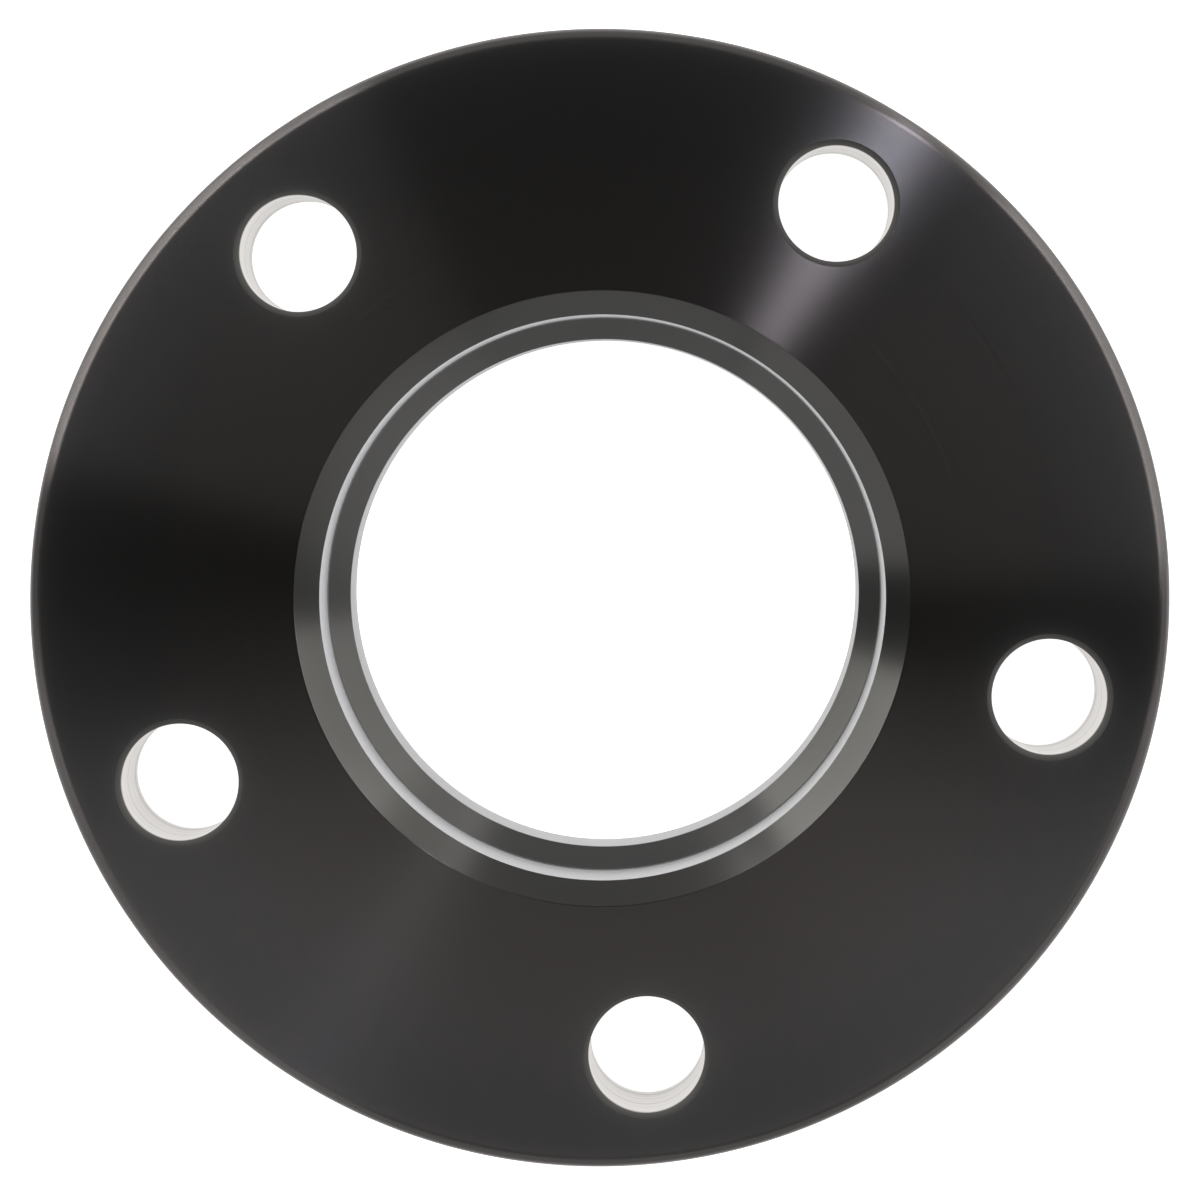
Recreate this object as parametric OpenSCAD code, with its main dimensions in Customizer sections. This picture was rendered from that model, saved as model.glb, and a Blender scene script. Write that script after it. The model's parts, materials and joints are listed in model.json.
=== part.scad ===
// Hub-centric wheel spacer, turned from one blank and drilled for the wheel bolts.
// The hub face is the plane z = 0 and looks up, the wheel lip points down.

/* [Disc] */
// Outside diameter of the disc
disc_d = 149; // [148:0.5:165]
// Thickness from the hub face to the wheel face
disc_t = 12; // [11:0.5:25]
// Width of the bevel on both outer edges
rim_bevel = 1.4; // [0.5:0.1:2]
// Slope of that bevel from the face
rim_angle = 25; // [15:1:45]

/* [Hub seat] */
// Diameter of the hub spigot that enters the seat
hub_d = 74.1; // [70:0.1:78]
// Diametral clearance of the seat on the hub
hub_clearance = 0.1; // [0.05:0.05:0.3]
// Radial width of the cone that leads into the seat
lead_in_w = 3.1; // [1:0.1:4.5]
// Slope of the lead-in cone and of the cone below the seat, from the hub face
cone_angle = 35; // [25:1:40]
// Least metal between the seat and the wheel face, and around a bolt hole
web_t = 2.2; // [1.5:0.1:3]
// Fillet at the foot of the seat wall
seat_fillet = 0.4; // [0.2:0.1:2]

/* [Wheel lip] */
// Centre bore of the wheel that the lip enters
wheel_bore_d = 74.1; // [70:0.1:78]
// Diametral clearance of the lip in the wheel
wheel_clearance = 0.1; // [0.05:0.05:0.3]
// Height of the lip above the wheel face
lip_h = 6.5; // [4:0.5:14]
// Least wall of the lip
lip_wall = 2.8; // [2.4:0.1:4]
// Bevel that leads the lip into the wheel
lip_lead = 1.2; // [0.5:0.1:1.5]
// Bevel on the inner edge of the lip
lip_break = 0.5; // [0.2:0.1:0.8]
// Fillet where the lip meets the wheel face
lip_root = 0.6; // [0.3:0.1:1]

/* [Bolt holes] */
// Number of bolt holes
bolt_count = 5; // [4:1:6]
// Diameter of the bolt circle
pitch_d = 120; // [112:0.5:124]
// Nominal diameter of a wheel bolt
bolt_d = 14; // [12:1:16]
// Diametral clearance of a bolt in its hole
bolt_clearance = 1.2; // [0.5:0.1:2]
// Bevel on both ends of a hole
hole_chamfer = 0.7; // [0.2:0.1:1.2]

/* [Hidden] */
$fn = 180;

// How far a cutter runs past the face that it opens
cut_over = 1;

disc_r = disc_d / 2;
seat_r = (hub_d + hub_clearance) / 2;
lip_r = (wheel_bore_d - wheel_clearance) / 2;
bore_r = min(seat_r, lip_r) - lip_wall;
hole_r = (bolt_d + bolt_clearance) / 2;
lug_r = hole_r + hole_chamfer + web_t;

// Heights of the edges of the section, all below the hub face
cone_rise = tan(cone_angle);
seat_top_z = -lead_in_w * cone_rise;
wheel_z = -disc_t;
seat_foot_z = wheel_z + web_t + max(0, seat_r - lip_r) * cone_rise;
bore_top_z = seat_foot_z - (seat_r - bore_r) * cone_rise;
lip_end_z = wheel_z - lip_h;

// Centre of the fillet circle that touches the seat wall and the cone below it
fillet_rise = (1 - sin(cone_angle)) / cos(cone_angle);
seat_fillet_at = [seat_r - seat_fillet, seat_foot_z + seat_fillet * fillet_rise];
// Where that circle touches the cone
seat_fillet_end = seat_fillet_at + seat_fillet * [sin(cone_angle), -cos(cone_angle)];
lip_root_at = [lip_r + lip_root, wheel_z - lip_root];

// Bevelled rim of the disc, from the hub face to the wheel face
rim_drop = rim_bevel * tan(rim_angle);
rim_edge = [
    [disc_r - rim_bevel, 0],
    [disc_r, -rim_drop],
    [disc_r, wheel_z + rim_drop],
    [disc_r - rim_bevel, wheel_z]
];

// Lip and bore from the wheel face round to the cone below the seat
lip_edge = [
    [lip_root_at[0], wheel_z],
    [lip_r, lip_root_at[1]],
    [lip_r, lip_end_z + lip_lead],
    [lip_r - lip_lead, lip_end_z],
    [bore_r + lip_break, lip_end_z],
    [bore_r, lip_end_z + lip_break],
    [bore_r, bore_top_z]
];

// Seat from its foot up to the outer edge of the lead-in cone
seat_edge = [
    seat_fillet_end,
    [seat_r, seat_fillet_at[1]],
    [seat_r, seat_top_z],
    [seat_r + lead_in_w, 0]
];

// Half section of the turned body, with straight cuts where the fillets come
module straight_section() {
    polygon(concat(rim_edge, lip_edge, seat_edge));
}

// Half section with the two hollow fillets
module turned_section() {
    difference() {
        straight_section();
        translate(seat_fillet_at) circle(seat_fillet);
        translate(lip_root_at) circle(lip_root);
    }
}

// Cutter for one bolt hole on the z axis, bevelled at both faces
module bolt_hole() {
    mouth_r = hole_r + hole_chamfer + cut_over;
    rotate_extrude()
        polygon([
            [0, cut_over],
            [0, wheel_z - cut_over],
            [mouth_r, wheel_z - cut_over],
            [hole_r, wheel_z + hole_chamfer],
            [hole_r, -hole_chamfer],
            [mouth_r, cut_over]
        ]);
}

// Metal that goes around one bolt hole on the z axis
module bolt_lug() {
    translate([0, 0, wheel_z]) cylinder(h = disc_t, r = lug_r);
}

// Places its children at every bolt, the first on the x axis
module at_bolts() {
    for (i = [0 : bolt_count - 1])
        rotate(i * 360 / bolt_count)
            translate([pitch_d / 2, 0, 0])
                children();
}

// The disc, with a lug at each hole that comes too near the rim to be closed by it
module blank() {
    rotate_extrude() turned_section();
    if (pitch_d / 2 + lug_r > disc_r - rim_bevel) at_bolts() bolt_lug();
}

// The whole spacer
module spacer() {
    color([0.13, 0.13, 0.125])
        difference() {
            blank();
            at_bolts() bolt_hole();
        }
}

spacer();
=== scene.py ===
import json
from math import cos, pi, radians, sin, tan

import bpy
import numpy as np
from mathutils import Matrix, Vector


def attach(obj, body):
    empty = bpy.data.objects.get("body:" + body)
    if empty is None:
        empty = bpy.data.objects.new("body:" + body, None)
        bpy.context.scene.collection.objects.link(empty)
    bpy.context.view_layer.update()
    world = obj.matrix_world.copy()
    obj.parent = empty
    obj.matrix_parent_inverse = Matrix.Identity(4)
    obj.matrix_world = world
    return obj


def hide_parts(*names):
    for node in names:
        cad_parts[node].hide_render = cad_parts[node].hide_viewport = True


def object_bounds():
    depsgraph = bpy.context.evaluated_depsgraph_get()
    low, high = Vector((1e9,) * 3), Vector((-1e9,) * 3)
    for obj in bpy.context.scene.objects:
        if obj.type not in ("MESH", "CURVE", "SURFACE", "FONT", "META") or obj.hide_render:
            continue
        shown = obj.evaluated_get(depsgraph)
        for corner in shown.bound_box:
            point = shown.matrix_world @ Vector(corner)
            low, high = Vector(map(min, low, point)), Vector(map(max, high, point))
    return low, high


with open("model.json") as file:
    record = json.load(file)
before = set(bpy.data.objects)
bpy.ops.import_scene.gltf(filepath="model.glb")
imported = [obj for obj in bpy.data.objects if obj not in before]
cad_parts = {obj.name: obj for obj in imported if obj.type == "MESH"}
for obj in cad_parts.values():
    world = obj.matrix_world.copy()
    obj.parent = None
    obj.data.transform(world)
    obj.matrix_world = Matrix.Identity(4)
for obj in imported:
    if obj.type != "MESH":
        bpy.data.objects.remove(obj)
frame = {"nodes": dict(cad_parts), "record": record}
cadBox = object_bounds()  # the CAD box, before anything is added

mm = 0.001
print("frame:", sorted(frame["nodes"]), [round(v / mm, 2) for v in cadBox[1] - cadBox[0]], "mm")


# A line of corners with every corner rounded. A round starts the tangent length
# R * tan(turn / 2) before its corner, and its normal swings evenly from the one side to the other.
# The outside lies to the right of the way that the line runs.
def roundedLine(corners, rounds, steps):
    p = np.asarray(corners, float)
    rounds = np.asarray(rounds, float)
    way = np.diff(p, axis=0)
    way /= np.linalg.norm(way, axis=1)[:, None]
    heading = np.arctan2(way[:, 1], way[:, 0])
    turn = (np.diff(heading) + pi) % (2 * pi) - pi
    signedR = np.sign(turn) * rounds
    start = p[1:-1] - way[:-1] * (rounds * np.tan(abs(turn) / 2))[:, None]
    centre = start + np.stack([-way[:-1, 1], way[:-1, 0]], 1) * signedR[:, None]
    swing = heading[:-1, None] + turn[:, None] * np.linspace(0, 1, steps + 1)
    outward = np.stack([np.sin(swing), -np.cos(swing)], -1)
    line = centre[:, None] + outward * signedR[:, None, None]
    return line.reshape(-1, 2), outward.reshape(-1, 2)


# Faces of a grid of rows by columns, whose last column joins its first
def gridFaces(rows, columns, flip=False):
    j, k = np.meshgrid(np.arange(rows - 1), np.arange(columns), indexing="ij")
    after = (k + 1) % columns
    ring = [j * columns + k, j * columns + after, (j + 1) * columns + after, (j + 1) * columns + k]
    return np.stack(ring[::-1] if flip else ring, -1).reshape(-1, 4)


# A profile (radius, height) carried round an upright axis at the given angles
def turned(line, outward, angles, axis=(0.0, 0.0)):
    c, s = np.cos(angles), np.sin(angles)
    r, z = line[:, :1], line[:, 1:]
    points = np.stack([axis[0] + r * c, axis[1] + r * s, z + 0 * c], -1)
    normals = np.stack([outward[:, :1] * c, outward[:, :1] * s, outward[:, 1:] + 0 * c], -1)
    return points.reshape(-1, 3), normals.reshape(-1, 3)


def addObject(name, data):
    made = bpy.data.objects.new(name, data)
    bpy.context.scene.collection.objects.link(made)
    return made


# Where a lamp or a camera stands: its x axis is right, and it looks away from back
def standing(right, back, spot):
    pose = np.eye(4)
    pose[:3] = np.column_stack([right, np.cross(back, right), back, spot])
    return Matrix(pose.tolist())


fits = {mount["name"]: mount["dims"] for mount in frame["record"]["mounts"]}
spots = {mount["name"]: mount["pos_m"] for mount in frame["record"]["mounts"]}
spacerShape = {  # mm: fits, faces and reach from the frame, and the small forms as in the CAD solid
    "discR": cadBox[1][0] / mm, "lipZ": cadBox[0][2] / mm,
    "faceZ": spots["hub_face"][2] / mm, "wheelZ": spots["wheel_face"][2] / mm,
    "pitchR": fits["bolt_circle"]["pcd_mm"] / 2, "bolts": fits["bolt_circle"]["count"],
    "holeR": fits["bolt_circle"]["hole_r_mm"], "holeBevel": 0.7,
    "seatR": fits["hub_seat"]["r_mm"], "boreR": fits["lip_bore"]["r_mm"], "lipR": fits["wheel_lip"]["r_mm"],
    "coneSlope": 35.0, "leadIn": 3.1,        # slope in degrees of both cones, width of the upper one
    "seatFoot": -9.73, "seatRound": 0.4,     # where the seat wall would meet the lower cone
    "lipBevel": 0.5, "lipLead": 1.2, "lipRoot": 0.6,
    "rimBevel": 1.4, "rimSlope": 25.0,       # width and slope of the bevels on the rim
    "rimEase": 1.5, "rimRound": 1.0,         # how softly those bevels start at a face and end
    "mouthRound": 0.08,                      # and how softly the bevel of a hole starts
    "edge": 0.16,                            # what the tool breaks off any other corner
    "footBare": 0.03, "boreBare": 0.57,      # how bare the lower cone and the bore are, 1 is bright metal
    "roundSteps": 6, "arcSteps": 96, "sideSteps": 20, "faceRows": 5,
}


# Corners of the three turned lines: radius, height, round, and how bare the metal after it is
def spacerLines(s):
    slope, edge = tan(radians(s["coneSlope"])), s["edge"]
    drop = s["rimBevel"] * tan(radians(s["rimSlope"]))
    seat = [
        (s["seatR"] + s["leadIn"], s["faceZ"], edge, 0),
        (s["seatR"], s["faceZ"] - s["leadIn"] * slope, edge, 1),
        (s["seatR"], s["seatFoot"], s["seatRound"], s["footBare"]),
        (s["boreR"], s["seatFoot"] - (s["seatR"] - s["boreR"]) * slope, edge, s["boreBare"]),
        (s["boreR"], s["lipZ"] + s["lipBevel"], edge, 0),
        (s["boreR"] + s["lipBevel"], s["lipZ"], edge, 0),
        (s["lipR"] - s["lipLead"], s["lipZ"], edge, 0),
        (s["lipR"], s["lipZ"] + s["lipLead"], edge, 0),
        (s["lipR"], s["wheelZ"], s["lipRoot"], 0),
    ]
    rim = [
        (s["discR"] - s["rimBevel"], s["wheelZ"], s["rimEase"], 0),
        (s["discR"], s["wheelZ"] + drop, s["rimRound"], 0),
        (s["discR"], s["faceZ"] - drop, s["rimRound"], 0),
        (s["discR"] - s["rimBevel"], s["faceZ"], s["rimEase"], 0),
    ]
    hole = [
        (s["holeR"] + s["holeBevel"], s["faceZ"], s["mouthRound"], 0),
        (s["holeR"], s["faceZ"] - s["holeBevel"], edge, 1),
        (s["holeR"], s["wheelZ"] + s["holeBevel"], edge, 0),
        (s["holeR"] + s["holeBevel"], s["wheelZ"], s["mouthRound"], 0),
    ]
    return seat, rim, hole


# One line of the table as a profile, with how bare the metal is along it.
# The line runs in along the face it leaves and out along the face it comes to.
def tableLine(rows, lead, tail, steps):
    table = np.array(rows, float)
    corners = np.vstack([lead, table[:, :2], tail])
    line, outward = roundedLine(corners, table[:, 2], steps)
    bare = np.repeat(table[:, 3], steps + 1)
    bare[steps + 1::steps + 1] = table[:-1, 3]  # the finish changes over the first step of a round
    return line, outward, bare


# The seat and the rim are turned about the axis and each hole about its bolt, with flat faces between
def buildSpacer(size):
    steps, bolts = size["roundSteps"], size["bolts"]
    half = pi / bolts
    ringAngles = -half + np.arange(bolts * size["arcSteps"]) * 2 * half / size["arcSteps"]
    seatRows, rimRows, holeRows = spacerLines(size)
    hubSide, wheelSide = (size["pitchR"], size["faceZ"]), (size["pitchR"], size["wheelZ"])
    seat = tableLine(seatRows, hubSide, wheelSide, steps)
    rim = tableLine(rimRows, wheelSide, hubSide, steps)
    hole = tableLine(holeRows, hubSide, wheelSide, steps)
    turnedSlot, seatSlot, holeSlot = 0, 1, 2  # material slots
    parts = []  # points, normals, faces, bare at each point, slot of each face

    for (line, outward, bare), slot in ((seat, seatSlot), (rim, turnedSlot)):
        points, normals = turned(line, outward, ringAngles)
        faces = gridFaces(len(line), len(ringAngles))
        parts.append((points, normals, faces, np.repeat(bare, len(ringAngles)), np.full(len(faces), slot)))

    # A face is made of equal sectors round the bolt holes. A sector's outline runs along the outer arc,
    # down one straight side, back along the inner arc and up the other side.
    # Each row of a sector is a blend from the rim of its hole to that outline.
    arc = np.linspace(-half, half, size["arcSteps"] + 1)
    share = np.linspace(0, 1, size["sideSteps"] + 1)[:-1]

    def outline(inR, outR):
        a = np.concatenate([arc[:-1], half + 0 * share, arc[:0:-1], -half + 0 * share])
        r = np.concatenate([outR + 0 * arc[:-1], outR + (inR - outR) * share,
                            inR + 0 * arc[:-1], inR + (outR - inR) * share])
        return np.stack([r * np.cos(a), r * np.sin(a)], -1)

    blend = np.linspace(0, 1, size["faceRows"] + 1)[:, None, None]
    hubOutline = outline(seat[0][0, 0], rim[0][-1, 0])
    wheelOutline = outline(seat[0][-1, 0], rim[0][0, 0])
    holeAngles = np.arctan2(hubOutline[:, 1], hubOutline[:, 0] - size["pitchR"])
    unit = np.stack([np.cos(holeAngles), np.sin(holeAngles)], -1)
    wallPoints, wallNormals = turned(hole[0], hole[1], holeAngles, (size["pitchR"], 0.0))
    wallFaces = gridFaces(len(hole[0]), len(holeAngles))
    wallBare = np.repeat(hole[2], len(holeAngles))
    wallSlots = np.full(len(wallFaces), holeSlot)
    for i in range(bolts):
        c, s = cos(2 * half * i), sin(2 * half * i)
        turnBy = np.array([[c, s, 0], [-s, c, 0], [0, 0, 1]])
        parts.append((wallPoints @ turnBy, wallNormals @ turnBy, wallFaces, wallBare, wallSlots))
        for border, holeR, z, up in ((hubOutline, hole[0][0, 0], size["faceZ"], 1),
                                     (wheelOutline, hole[0][-1, 0], size["wheelZ"], -1)):
            ring = holeR * unit + [size["pitchR"], 0.0]
            flat = (ring + (border - ring) * blend).reshape(-1, 2)
            points = np.column_stack([flat, np.full(len(flat), z)]) @ turnBy
            normals = np.tile([0.0, 0.0, up], (len(flat), 1))
            faces = gridFaces(len(blend), len(border), flip=up > 0)
            parts.append((points, normals, faces, np.zeros(len(flat)), np.full(len(faces), turnedSlot)))

    counts = np.cumsum([0] + [len(p[0]) for p in parts])
    points = np.concatenate([p[0] for p in parts])
    normals = np.concatenate([p[1] for p in parts])
    bare = np.concatenate([p[3] for p in parts])
    faces = np.concatenate([p[2] + n for p, n in zip(parts, counts)])
    slots = np.concatenate([p[4] for p in parts])
    # points that fall in the same cell of a micron are one point, which closes the seams
    microns, offGrid = 1000, 0.137  # per mm, and what keeps round sizes off the borders of the cells
    cell = np.round(points * microns + offGrid).astype(np.int64)
    first, inverse = np.unique(cell, axis=0, return_index=True, return_inverse=True)[1:]
    mesh = bpy.data.meshes.new("spacerBody")
    mesh.from_pydata((points[first] * mm).tolist(), [], inverse.ravel()[faces].tolist())
    mesh.polygons.foreach_set("material_index", slots.astype(np.int32))
    mesh.polygons.foreach_set("use_smooth", np.ones(len(faces), bool))
    bareWall = mesh.attributes.new("bareWall", "FLOAT", "POINT")
    bareWall.data.foreach_set("value", bare[first].astype(np.float32))
    mesh.normals_split_custom_set_from_vertices(normals[first].tolist())
    mesh.update()
    print("spacer:", len(first), "points,", 2 * len(faces), "triangles")
    return addObject("spacerBody", mesh)


spacerBody = buildSpacer(spacerShape)
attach(spacerBody, "root")
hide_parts("spacer")


class Wire:  # a socket that takes part in sums, each of which adds a Math node
    def __init__(self, tree, socket=None):
        self.tree, self.socket = tree, socket

    def node(self, kind, settings=(), inputs=(), out=0):  # type, settings first, then values or links
        made = self.tree.nodes.new(kind)
        for name, value in dict(settings).items():
            setattr(made, name, value)
        for key, value in dict(inputs).items():
            if isinstance(value, Wire):
                self.tree.links.new(value.socket, made.inputs[key])
            else:
                made.inputs[key].default_value = value
        return Wire(self.tree, made.outputs[out] if made.outputs else None)

    def maths(self, operation, *values):
        return self.node("ShaderNodeMath", {"operation": operation}, enumerate(values))

    def __add__(self, other):
        return self.maths("ADD", self, other)

    def __radd__(self, other):
        return self.maths("ADD", other, self)

    def __sub__(self, other):
        return self.maths("SUBTRACT", self, other)

    def __rsub__(self, other):
        return self.maths("SUBTRACT", other, self)

    def __mul__(self, other):
        return self.maths("MULTIPLY", self, other)

    def __rmul__(self, other):
        return self.maths("MULTIPLY", other, self)

    def __rtruediv__(self, other):
        return self.maths("DIVIDE", other, self)

    def __pow__(self, other):
        return self.maths("POWER", self, other)


def newMaterial(name):
    material = bpy.data.materials.new(name)
    material.use_nodes = True
    material.node_tree.nodes.clear()
    return material, Wire(material.node_tree)


def place(wire):  # the piece's own coordinates, whole and as x, y, z
    spot = wire.node("ShaderNodeTexCoord", out="Object")
    split = wire.node("ShaderNodeSeparateXYZ", inputs={0: spot})
    return spot, [Wire(wire.tree, split.socket.node.outputs[i]) for i in range(3)]


def noise(wire, kind, at=None, along=None):  # speckle over a place, or bands along one value
    inputs = dict(zip(("Scale", "Detail"), kind))
    if along is None:
        return wire.node("ShaderNodeTexNoise", inputs=inputs | {"Vector": at})
    return wire.node("ShaderNodeTexNoise", {"noise_dimensions": "1D"}, inputs | {"W": along})


def blendColour(wire, share, first, second):  # sockets by number, because several have the same name
    return wire.node("ShaderNodeMix", {"data_type": "RGBA"}, {0: share, 6: first, 7: second}, out=2)


noiseMean = 0.5  # what any noise swings about
anodised = {
    "dark": (0.0044, 0.0043, 0.0040, 1), "light": (0.0060, 0.0058, 0.0054, 1), "ior": 1.85,
    "pale": (0.026, 0.026, 0.026, 1),  # painted sheen, next to an edge
}
turnedLook = anodised | {
    "rings": (1500.0, 3.0), "grain": (4000.0, 2.0), "clouds": (350.0, 4.0),  # scale and detail of a noise
    "roughness": 0.205, "ringRough": 0.03, "grainRough": 0.04, "grainDepth": 1e-6,
    "outRough": 1.5,                                     # rougher by that, per metre past the bolt circle
    "anisotropic": 1.0, "turn": 0.25,                    # the sheen fans out from the axis
    "tints": ((1.0, 0.93, 0.92, 1), (0.87, 0.88, 0.94, 1)), "tintShare": 0.5,  # of the second, at the bolts
    "tintClouds": 2.0, "tintGrain": 1.5,
    "tintOut": 55.0, "tintRim": 1.4,                     # bluer outwards, but not by the rim
    "fade": 0.8, "byHole": 1.0, "byRim": 0.9,            # how far in mm, and how much painted sheen by an edge
    "rimPale": (0.06, 0.06, 0.058, 1), "rimCurve": 1.5,  # painted highlight over the upper bevel, strongest at its foot
    "rimFade": 0.3,                                      # gone that many mm below it
}


def turnedBlack(look, size):  # faces and rim: anodised over the fine rings of the cut, with painted sheen by its edges and a painted highlight on the upper rim bevel
    material, wire = newMaterial("turnedBlack")
    spot, (x, y, z) = place(wire)
    radius = (x * x + y * y) ** 0.5
    rings = noise(wire, look["rings"], along=radius)
    grain = noise(wire, look["grain"], at=spot)
    clouds = noise(wire, look["clouds"], at=spot)
    pastBolts = radius - size["pitchR"] * mm
    sector = 2 * pi / size["bolts"]
    angle = y.maths("ARCTAN2", y, x) + sector / 2
    fromBolt = angle.maths("FLOORED_MODULO", angle, sector) - sector / 2
    outBy = radius * fromBolt.maths("COSINE", fromBolt) - size["pitchR"] * mm
    sideBy = radius * fromBolt.maths("SINE", fromBolt)
    holeGap = (outBy * outBy + sideBy * sideBy) ** 0.5 - (size["holeR"] + size["holeBevel"]) * mm
    rimGap = (size["discR"] - size["rimBevel"]) * mm - radius
    fade = look["fade"] * mm
    byHole = look["byHole"] * fade / (holeGap.maths("MAXIMUM", holeGap, 0.0) + fade)
    byRim = look["byRim"] * fade / (rimGap.maths("MAXIMUM", rimGap, 0.0) + fade)
    drop = size["rimBevel"] * tan(radians(size["rimSlope"]))
    downBevel = rimGap.maths("MAXIMUM", rimGap * (-1 / (size["rimBevel"] * mm)), 0.0) ** look["rimCurve"]
    aboveFoot = 1 + drop / look["rimFade"] + z * (1 / (look["rimFade"] * mm))
    aboveFoot = aboveFoot.maths("MAXIMUM", aboveFoot.maths("MINIMUM", aboveFoot, 1.0), 0.0)
    film = look["tintShare"] + pastBolts * look["tintOut"] - byRim * look["tintRim"]
    film = film + (clouds - noiseMean) * look["tintClouds"] + (grain - noiseMean) * look["tintGrain"]
    black = blendColour(wire, rings, look["dark"], look["light"])
    # painted sheen on the face next to the holes and the rim
    black = blendColour(wire, byHole + byRim, black, look["pale"])
    # painted highlight on the upper rim bevel, gone a little below its foot
    black = blendColour(wire, downBevel * aboveFoot, black, look["rimPale"])
    rough = look["roughness"] + pastBolts.maths("MAXIMUM", pastBolts, 0.0) * look["outRough"]
    rough = rough + (rings - noiseMean) * look["ringRough"] + (grain - noiseMean) * look["grainRough"]
    finish = {
        "Base Color": black, "Roughness": rough, "IOR": look["ior"],
        "Anisotropic": look["anisotropic"], "Anisotropic Rotation": look["turn"],
        "Normal": wire.node("ShaderNodeBump", inputs={"Distance": look["grainDepth"], "Height": grain}),
    }
    first, second = [wire.node("ShaderNodeBsdfPrincipled", inputs=finish | {"Specular Tint": tint})
                     for tint in look["tints"]]
    shader = wire.node("ShaderNodeMixShader", inputs={0: film, 1: first, 2: second})
    wire.node("ShaderNodeOutputMaterial", inputs={"Surface": shader})
    return material


cutLook = anodised | {
    "grain": (900.0, 2.0), "bareRough": 0.58,
    "markRange": (0.34, 0.48),  # only the deeper marks show
}
seatLook = cutLook | {
    "blackRough": 0.17, "paleBy": 0.0, "deep": 0.0,
    "bare": (0.555, 0.558, 0.57, 1), "mark": (0.50, 0.503, 0.515, 1),
    "marks": (1500.0, 2.0), "waves": (60.0, 1.0), "wave": 0.0002, "markDepth": 2e-6,
}
holeLook = cutLook | {
    # the bevels' black is lifted above the face's black as a painted sheen
    "dark": (0.020, 0.020, 0.019, 1), "light": (0.026, 0.026, 0.025, 1), "ior": 1.5, "blackRough": 0.46,
    "pale": (0.085, 0.084, 0.08, 1),
    "paleBy": 1 / (spacerShape["holeBevel"] * mm),  # painted sheen, whole at the foot of the bevel
    # painted shade: the bare wall is drawn darker further into the hole
    "bare": (0.87, 0.855, 0.84, 1), "mark": (0.50, 0.485, 0.47, 1), "deep": 40.0,
    "marks": (900.0, 2.0), "waves": (160.0, 1.0), "wave": 0.0004, "markDepth": 1e-5,
}


def cutFinish(name, look):  # cones and bevels anodised, fitted walls bare with the marks of the cutter; where the look asks for it, painted sheen over the bevels and painted shade further down the walls
    material, wire = newMaterial(name)
    spot, (_, _, z) = place(wire)
    bare = wire.node("ShaderNodeAttribute", {"attribute_name": "bareWall"}, out="Fac")
    grain = noise(wire, look["grain"], at=spot)
    waves = noise(wire, look["waves"], at=spot)
    marks = noise(wire, look["marks"], along=z + waves * look["wave"])
    least, most = look["markRange"]
    lines = wire.node("ShaderNodeMapRange", {"interpolation_type": "SMOOTHSTEP"},
                      {"Value": marks, "From Min": least, "From Max": most})
    black = blendColour(wire, grain, look["dark"], look["light"])
    black = blendColour(wire, z * -look["paleBy"], black, look["pale"])  # painted sheen, growing down a bevel to its lower end
    metal = blendColour(wire, lines + z * look["deep"], look["mark"], look["bare"])  # painted shade, darker further into the hole
    bump = wire.node("ShaderNodeBump", inputs={"Distance": look["markDepth"], "Height": bare * marks})
    shader = wire.node("ShaderNodeBsdfPrincipled", inputs={
        "Base Color": blendColour(wire, bare, black, metal), "Metallic": bare, "IOR": look["ior"],
        "Roughness": look["blackRough"] + bare * (look["bareRough"] - look["blackRough"]), "Normal": bump})
    wire.node("ShaderNodeOutputMaterial", inputs={"Surface": shader})
    return material


spacerBody.data.materials.append(turnedBlack(turnedLook, spacerShape))
spacerBody.data.materials.append(cutFinish("seatCut", seatLook))
spacerBody.data.materials.append(cutFinish("holeCut", holeLook))
print("finishes:", [m.name for m in spacerBody.data.materials])


coveShape = {  # metres: a round white ground that curves up into a low wall all round
    "z": cadBox[0][2], "flatR": 2.4, "wallR": 3.0, "height": 1.05, "columns": 96, "steps": 12,
}
coveLook = {"colour": (0.8, 0.8, 0.8, 1), "glow": 0.92}
skyColour = (0.02, 0.02, 0.02, 1)  # a faint light from above the wall


def buildCove(size, look):  # its own glow is seen, in metal too, but it lights nothing
    bend = size["wallR"] - size["flatR"]
    swing = np.linspace(0, pi / 2, size["steps"] + 1)
    line = np.stack([size["flatR"] + bend * np.sin(swing), size["z"] + bend * (1 - np.cos(swing))], -1)
    line = np.vstack([line, (size["wallR"], size["z"] + size["height"])])
    angles = np.arange(size["columns"]) * 2 * pi / size["columns"]
    wall = gridFaces(len(line), len(angles), flip=True).tolist()
    ground = [list(range(len(angles)))]  # the flat middle is one face
    mesh = bpy.data.meshes.new("cove")
    mesh.from_pydata(turned(line, line, angles)[0].tolist(), [], wall + ground)
    mesh.polygons.foreach_set("use_smooth", np.ones(len(mesh.polygons), bool))
    material, wire = newMaterial("coveWhite")
    path = wire.node("ShaderNodeLightPath").socket.node.outputs
    seen = Wire(wire.tree, path["Is Camera Ray"]) + Wire(wire.tree, path["Is Glossy Ray"])
    seen = seen + Wire(wire.tree, path["Is Transmission Ray"])
    glow = wire.node("ShaderNodeEmission", inputs={"Strength": seen * look["glow"]})
    matt = wire.node("ShaderNodeBsdfDiffuse", inputs={"Color": look["colour"]})
    both = wire.node("ShaderNodeAddShader", inputs={0: matt, 1: glow})
    wire.node("ShaderNodeOutputMaterial", inputs={"Surface": both})
    mesh.materials.append(material)
    cove = addObject("cove", mesh)


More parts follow.
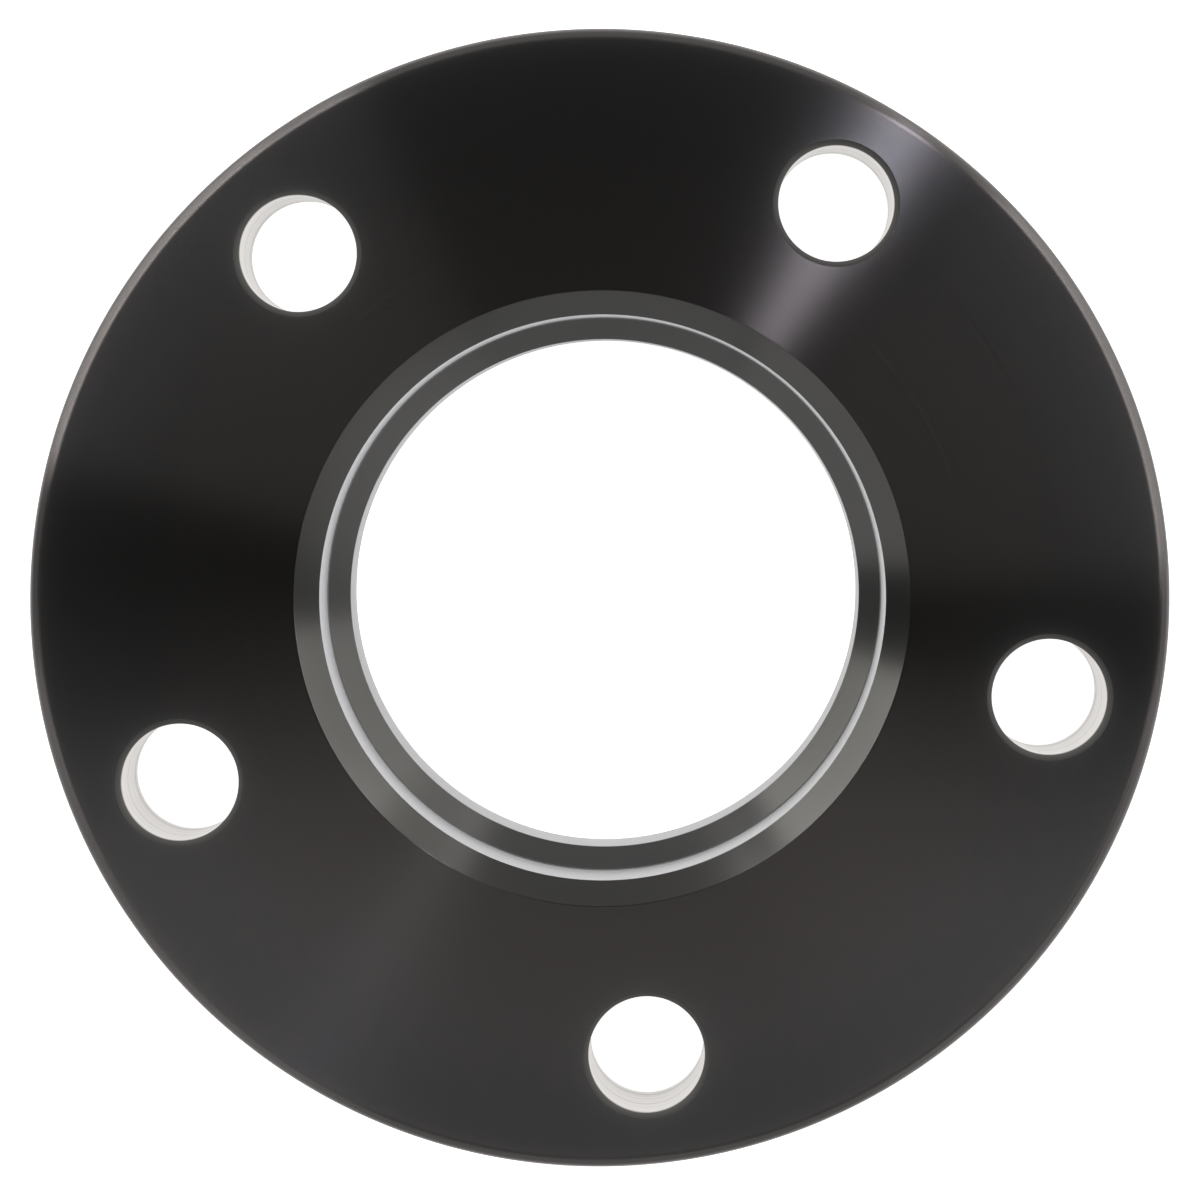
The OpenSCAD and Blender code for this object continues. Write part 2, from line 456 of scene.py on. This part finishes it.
warm, plain, cool = (1.0, 0.975, 0.90), (1.0, 0.98, 0.955), (1.0, 0.985, 1.08)  # tints of the lamps
softboxes = {  # azimuth and elevation in degrees; distance, width and height in metres; radiance, tint
    "overFront": (-76.5, 71.4, 0.61, 1.44, 0.10, 1.22, plain),
    "overLeft": (157.5, 40.4, 0.88, 0.64, 0.155, 8.6, plain),
    "overRight": (33.5, 43.4, 0.88, 0.54, 0.265, 5.1, plain),
    "strip": (68.4, 58, 0.835, 0.036, 0.56, 10.7, cool),
    "sideLeft": (163.5, 32.8, 1.03, 0.66, 0.255, 2.15, warm),
    "sideRight": (44.5, 27.5, 1.0, 1.0, 0.42, 0.98, warm),
    "midFront": (-76.5, 50, 0.9, 1.5, 0.35, 0.20, plain),
    "lowFront": (-79, 24.2, 1.135, 1.05, 0.17, 0.61, plain),
    "lowRight": (-19, 18, 0.88, 1.05, 0.36, 0.82, plain),
    "lowLeft": (-132, 34.3, 1.255, 1.07, 0.62, 0.75, plain),
    "behind": (102.5, 22.7, 1.03, 1.14, 0.70, 0.41, plain),
}


# A panel that faces the middle of the hub face from a direction and a distance
def addSoftbox(name, azimuth, elevation, distance, width, height, radiance, tint):
    a, e = radians(azimuth), radians(elevation)
    back = np.array([cos(e) * cos(a), cos(e) * sin(a), sin(e)])
    right = np.array([-sin(a), cos(a), 0.0])
    lamp = bpy.data.lights.new(name, "AREA")
    lamp.shape = "RECTANGLE"
    lamp.size, lamp.size_y = width, height
    lamp.color = tint
    lamp.energy = radiance * pi * width * height  # watts of a panel that glows at that radiance
    panel = addObject(name, lamp)
    panel.matrix_world = standing(right, back, back * distance)
    panel.visible_camera = False


cameraPlace = {  # eye and aim in mm, roll in degrees, lens and sensor in mm, shift as a share of the sensor
    "eye": (4.25, 23.93, 340.4), "aim": (13.71, 24.76, 0.0), "roll": 12.577,
    "lens": 78.21, "sensor": 36.0, "shift": (-0.1224, -0.1365), "clip": (0.01, 20.0),  # clip in metres
}


def addCamera(view):  # looks from the eye to the aim, with +Y up in the picture but for the roll
    data = bpy.data.cameras.new("camera")
    data.lens, data.sensor_width = view["lens"], view["sensor"]
    data.shift_x, data.shift_y = view["shift"]
    data.clip_start, data.clip_end = view["clip"]
    eye, aim = np.array(view["eye"]), np.array(view["aim"])
    back = (eye - aim) / np.linalg.norm(eye - aim)
    turn = radians(view["roll"])
    right = np.cross([-sin(turn), cos(turn), 0.0], back)
    right /= np.linalg.norm(right)
    camera = addObject("camera", data)
    camera.matrix_world = standing(right, back, eye * mm)
    bpy.context.scene.camera = camera


buildCove(coveShape, coveLook)
for name, row in softboxes.items():
    addSoftbox(name, *row)
addCamera(cameraPlace)
world = bpy.data.worlds.new("studio")
world.use_nodes = True
world.node_tree.nodes["Background"].inputs["Color"].default_value = skyColour
bpy.context.scene.world = world
bpy.context.scene.view_settings.view_transform = "Standard"
print("stage: cove,", len(softboxes), "softboxes, camera")
